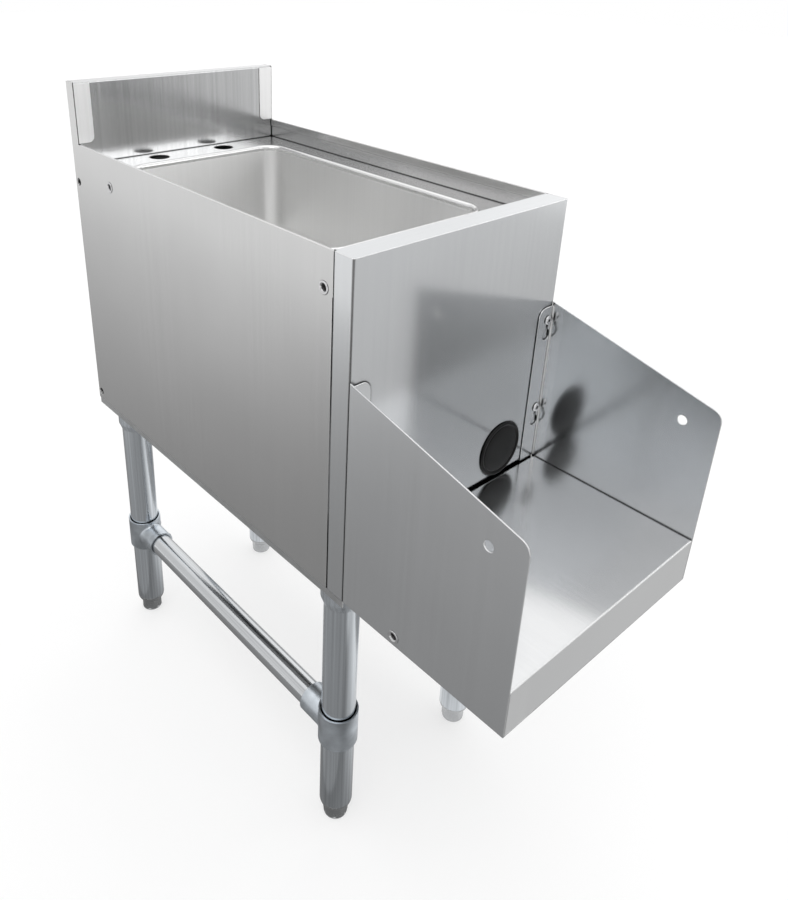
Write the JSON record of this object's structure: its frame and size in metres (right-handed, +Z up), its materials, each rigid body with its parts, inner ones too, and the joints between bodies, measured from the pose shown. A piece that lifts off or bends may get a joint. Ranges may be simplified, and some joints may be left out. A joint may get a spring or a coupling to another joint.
{
  "type": "blender station with dump sink",
  "caption": "Narrow stainless bar unit with a dump sink, a low splash and a lift-off front shelf for a blender, on four tube legs with levelling feet.",
  "frame": {"origin": "on the floor, under the middle of the whole footprint", "axes": "+Z up; the front, with the shelf, faces -Y; +X is to the right of a person facing the front"},
  "size_m": [0.3064, 0.747, 0.8506],
  "materials": {
    "sheet_steel": "brushed stainless sheet, number 4 grain",
    "channel_steel": "mill finish steel",
    "tube_steel": "polished stainless tube",
    "cast_metal": "bead blasted casting",
    "foot_steel": "turned and milled stainless",
    "screw_steel": "plated steel",
    "black_plastic": "fine matt moulding",
    "seal_rubber": "plain rubber",
    "drain_chrome": "bright chrome plate",
    "nut_brass": "plain turned brass"
  },
  "bodies": {
    "station": {"back_panel": "sheet_steel", "backsplash": "sheet_steel", "drain_body": "drain_chrome", "drain_gasket": "seal_rubber", "drain_locknut": "nut_brass", "drain_tailpiece": "drain_chrome", "front_fascia": "sheet_steel", "left_leg_channel": "channel_steel", "left_side_panel": "sheet_steel", "left_side_rail": "tube_steel", "leg_insert_front_left": "foot_steel", "leg_insert_front_right": "foot_steel", "leg_insert_rear_left": "foot_steel", "leg_insert_rear_right": "foot_steel", "leg_socket_front_left": "cast_metal", "leg_socket_front_right": "cast_metal", "leg_socket_rear_left": "cast_metal", "leg_socket_rear_right": "cast_metal", "leg_tube_front_left": "tube_steel", "leg_tube_front_right": "tube_steel", "leg_tube_rear_left": "tube_steel", "leg_tube_rear_right": "tube_steel", "rail_tee_front_left": "cast_metal", "rail_tee_front_right": "cast_metal", "rail_tee_rear_left": "cast_metal", "rail_tee_rear_right": "cast_metal", "right_leg_channel": "channel_steel", "right_side_panel": "sheet_steel", "right_side_rail": "tube_steel", "rivet_nuts": "screw_steel", "shelf_screws": "screw_steel", "sink_bowl": "sheet_steel", "sink_deck": "sheet_steel", "slip_nut": "nut_brass", "socket_set_screws": "screw_steel", "tee_set_screws": "screw_steel"},
    "front_left_foot": {"foot_front_left": "foot_steel"},
    "front_right_foot": {"foot_front_right": "foot_steel"},
    "rear_left_foot": {"foot_rear_left": "foot_steel"},
    "rear_right_foot": {"foot_rear_right": "foot_steel"},
    "shelf": {"shelf_left_side": "sheet_steel", "shelf_right_side": "sheet_steel", "shelf_pan": "sheet_steel", "shelf_nuts": "screw_steel"},
    "plug": {"cord_hole_plug": "black_plastic"},
    "strainer": {"drain_strainer": "drain_chrome"}
  },
  "joints": [
    {"name": "front_left_foot_height", "type": "slide", "parent": "station", "child": "front_left_foot", "axis": [0, 0, -1], "range_m": [0, 0.025]},
    {"name": "front_right_foot_height", "type": "slide", "parent": "station", "child": "front_right_foot", "axis": [0, 0, -1], "range_m": [0, 0.025]},
    {"name": "rear_left_foot_height", "type": "slide", "parent": "station", "child": "rear_left_foot", "axis": [0, 0, -1], "range_m": [0, 0.025]},
    {"name": "rear_right_foot_height", "type": "slide", "parent": "station", "child": "rear_right_foot", "axis": [0, 0, -1], "range_m": [0, 0.025]},
    {"name": "shelf_lift", "type": "slide", "parent": "station", "child": "shelf", "axis": [0, 0, 1], "range_m": [0, 0.018]},
    {"name": "plug_push", "type": "slide", "parent": "station", "child": "plug", "axis": [0, 1, 0], "range_m": [-0.03, 0]},
    {"name": "strainer_lift", "type": "slide", "parent": "station", "child": "strainer", "axis": [0, 0, 1], "range_m": [0, 0.14]}
  ]
}
